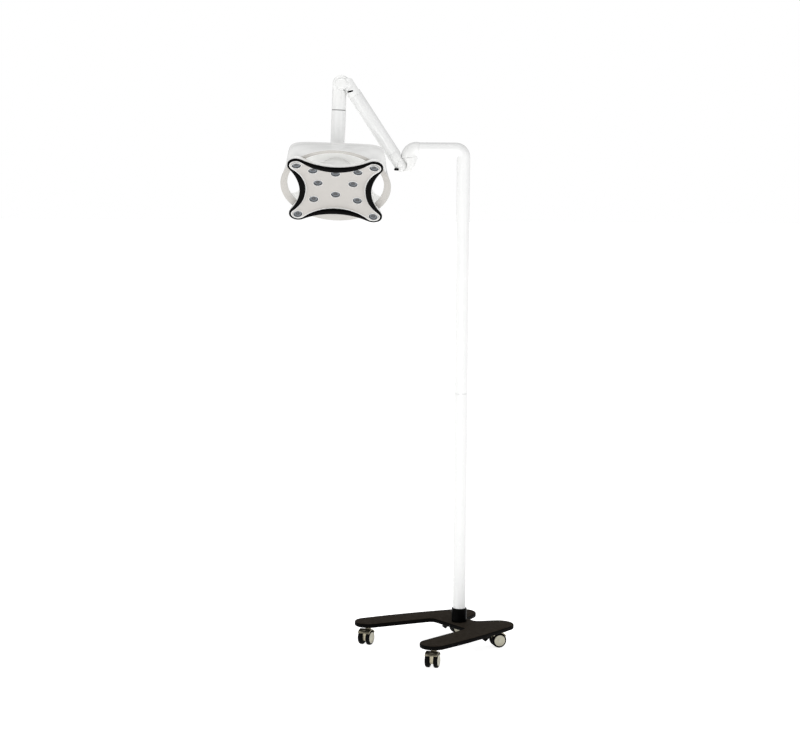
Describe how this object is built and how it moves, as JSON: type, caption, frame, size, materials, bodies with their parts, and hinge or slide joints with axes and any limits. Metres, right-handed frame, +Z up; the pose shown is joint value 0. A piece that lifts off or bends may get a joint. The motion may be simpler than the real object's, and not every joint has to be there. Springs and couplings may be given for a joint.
{
  "type": "mobile surgical light",
  "caption": "White multi-lens surgical light head on a balanced spring arm, carried by a bent pole on a flat black castor base.",
  "frame": {"origin": "on the floor, under the middle of the whole light's bounding box", "axes": "+Z up; the lamp faces -Y; the arm reaches from the pole towards -X"},
  "size_m": [0.7948, 0.5336, 1.9324],
  "materials": {
    "black_powder_coat": "black powder coat, slightly glossy",
    "white_enamel": "white semi-gloss enamel",
    "steel": "plain machined steel",
    "nylon": "natural nylon",
    "dark_nylon": "dark moulded nylon",
    "zinc": "yellowish zinc plate",
    "black_tyre": "matt black tread",
    "white_gloss_shell": "white gloss moulding",
    "aluminium": "bare aluminium",
    "circuit_board": "green solder mask",
    "black_plastic": "black satin moulding",
    "warm_grey_panel": "warm grey satin panel",
    "lens": "dark glossy lens"
  },
  "bodies": {
    "stand": {"base_plate": "black_powder_coat", "pole_collar": "black_powder_coat", "lower_pole": "white_enamel", "foot_plug": "steel", "foot_bolt": "steel", "pole_spigot": "steel", "upper_pole": "white_enamel", "spigot_screw_lower": "steel", "spigot_screw_upper": "steel", "arm_elbow": "white_enamel", "swivel_bush": "nylon"},
    "arm_swivel": {"arm_yoke": "white_enamel", "swivel_spindle": "steel", "spindle_ring": "steel", "tie_pin_lower": "steel"},
    "arm": {"arm_lower_fork": "white_enamel", "arm_tube": "white_enamel", "arm_upper_fork": "white_enamel", "arm_spring": "steel", "spring_guide": "steel", "pivot_pin_lower": "steel", "pivot_pin_upper": "steel", "fork_cap_front": "white_enamel", "fork_cap_back": "white_enamel"},
    "tie_rod": {"tie_rod": "steel"},
    "knuckle": {"arm_knuckle": "white_enamel", "knuckle_cap_front": "white_enamel", "knuckle_cap_back": "white_enamel", "seam_ring": "dark_nylon", "tie_pin_upper": "steel"},
    "drop_tube": {"drop_tube": "white_enamel", "head_spindle": "steel", "tilt_tongue": "white_enamel"},
    "lamp_head": {"tilt_bracket": "white_enamel", "tilt_pin": "steel", "head_shell": "white_gloss_shell", "lamp_housing": "white_gloss_shell", "heat_sink": "aluminium", "led_board": "circuit_board", "bezel": "black_plastic", "front_panel": "warm_grey_panel", "lens_sheet": "lens"},
    "caster_front_left_fork": {"caster_front_left_fork": "zinc"},
    "caster_front_left_wheels": {"caster_front_left_axle": "steel", "caster_front_left_wheel_inner": "black_tyre", "caster_front_left_wheel_outer": "black_tyre"},
    "caster_front_right_fork": {"caster_front_right_fork": "zinc"},
    "caster_front_right_wheels": {"caster_front_right_axle": "steel", "caster_front_right_wheel_inner": "black_tyre", "caster_front_right_wheel_outer": "black_tyre"},
    "caster_rear_left_fork": {"caster_rear_left_fork": "zinc"},
    "caster_rear_left_wheels": {"caster_rear_left_axle": "steel", "caster_rear_left_wheel_inner": "black_tyre", "caster_rear_left_wheel_outer": "black_tyre"},
    "caster_rear_left_brake": {"caster_rear_left_brake_lever": "dark_nylon"},
    "caster_rear_right_fork": {"caster_rear_right_fork": "zinc"},
    "caster_rear_right_wheels": {"caster_rear_right_axle": "steel", "caster_rear_right_wheel_inner": "black_tyre", "caster_rear_right_wheel_outer": "black_tyre"},
    "caster_rear_right_brake": {"caster_rear_right_brake_lever": "dark_nylon"}
  },
  "joints": [
    {"name": "arm_swivel", "type": "hinge", "parent": "stand", "child": "arm_swivel", "pos_m": [0.02958, 0.07795, 1.6609], "axis": [0, 0, 1], "range_deg": [-95, 95]},
    {"name": "arm_tilt", "type": "hinge", "parent": "arm_swivel", "child": "arm", "pos_m": [-0.00082, 0.07795, 1.638], "axis": [0, 1, 0], "range_deg": [-86.5, 0]},
    {"name": "tie_rod_swing", "type": "hinge", "parent": "arm_swivel", "child": "tie_rod", "pos_m": [-0.00082, 0.07795, 1.623], "axis": [0, 1, 0], "range_deg": [-86.6, 0.1]},
    {"name": "knuckle_level", "type": "hinge", "parent": "arm", "child": "knuckle", "pos_m": [-0.17351, 0.07795, 1.89989], "axis": [0, 1, 0], "range_deg": [-0.1, 86.6]},
    {"name": "head_swivel", "type": "hinge", "parent": "knuckle", "child": "drop_tube", "pos_m": [-0.20613, 0.07795, 1.81707], "axis": [0.0314, 0, 0.9995], "range_deg": [-165, 5]},
    {"name": "head_tilt", "type": "hinge", "parent": "drop_tube", "child": "lamp_head", "pos_m": [-0.21049, 0.07795, 1.67814], "axis": [-0.9995, 0, 0.0314], "range_deg": [-40, 45]},
    {"name": "caster_front_left_swivel", "type": "hinge", "parent": "stand", "child": "caster_front_left_fork", "pos_m": [-0.10002, 0.07984, 0], "axis": [0, 0, 1], "continuous": true},
    {"name": "caster_front_left_roll", "type": "hinge", "parent": "caster_front_left_fork", "child": "caster_front_left_wheels", "pos_m": [-0.10734, 0.0634, 0.025], "axis": [0.9135, -0.4067, 0], "continuous": true},
    {"name": "caster_front_right_swivel", "type": "hinge", "parent": "stand", "child": "caster_front_right_fork", "pos_m": [0.12021, -0.21996, 0], "axis": [0, 0, 1], "continuous": true},
    {"name": "caster_front_right_roll", "type": "hinge", "parent": "caster_front_right_fork", "child": "caster_front_right_wheels", "pos_m": [0.11555, -0.23735, 0.025], "axis": [0.9659, -0.2588, 0], "continuous": true},
    {"name": "caster_rear_left_swivel", "type": "hinge", "parent": "stand", "child": "caster_rear_left_fork", "pos_m": [0.22828, 0.22919, 0], "axis": [0, 0, 1], "continuous": true},
    {"name": "caster_rear_left_roll", "type": "hinge", "parent": "caster_rear_left_fork", "child": "caster_rear_left_wheels", "pos_m": [0.21098, 0.22423, 0.025], "axis": [0.2756, -0.9613, 0], "continuous": true},
    {"name": "caster_rear_left_brake", "type": "hinge", "parent": "caster_rear_left_fork", "child": "caster_rear_left_brake", "pos_m": [0.18118, 0.21568, 0.0365], "axis": [0.2756, -0.9613, 0], "range_deg": [0, 12]},
    {"name": "caster_rear_right_swivel", "type": "hinge", "parent": "stand", "child": "caster_rear_right_fork", "pos_m": [0.36089, 0.04866, 0], "axis": [0, 0, 1], "continuous": true},
    {"name": "caster_rear_right_roll", "type": "hinge", "parent": "caster_rear_right_fork", "child": "caster_rear_right_wheels", "pos_m": [0.34359, 0.0437, 0.025], "axis": [0.2756, -0.9613, 0], "continuous": true},
    {"name": "caster_rear_right_brake", "type": "hinge", "parent": "caster_rear_right_fork", "child": "caster_rear_right_brake", "pos_m": [0.31379, 0.03515, 0.0365], "axis": [0.2756, -0.9613, 0], "range_deg": [0, 12]}
  ],
  "couplings": [
    {"joint": "tie_rod_swing", "follows": "arm_tilt", "ratio": 1},
    {"joint": "knuckle_level", "follows": "arm_tilt", "ratio": -1}
  ]
}
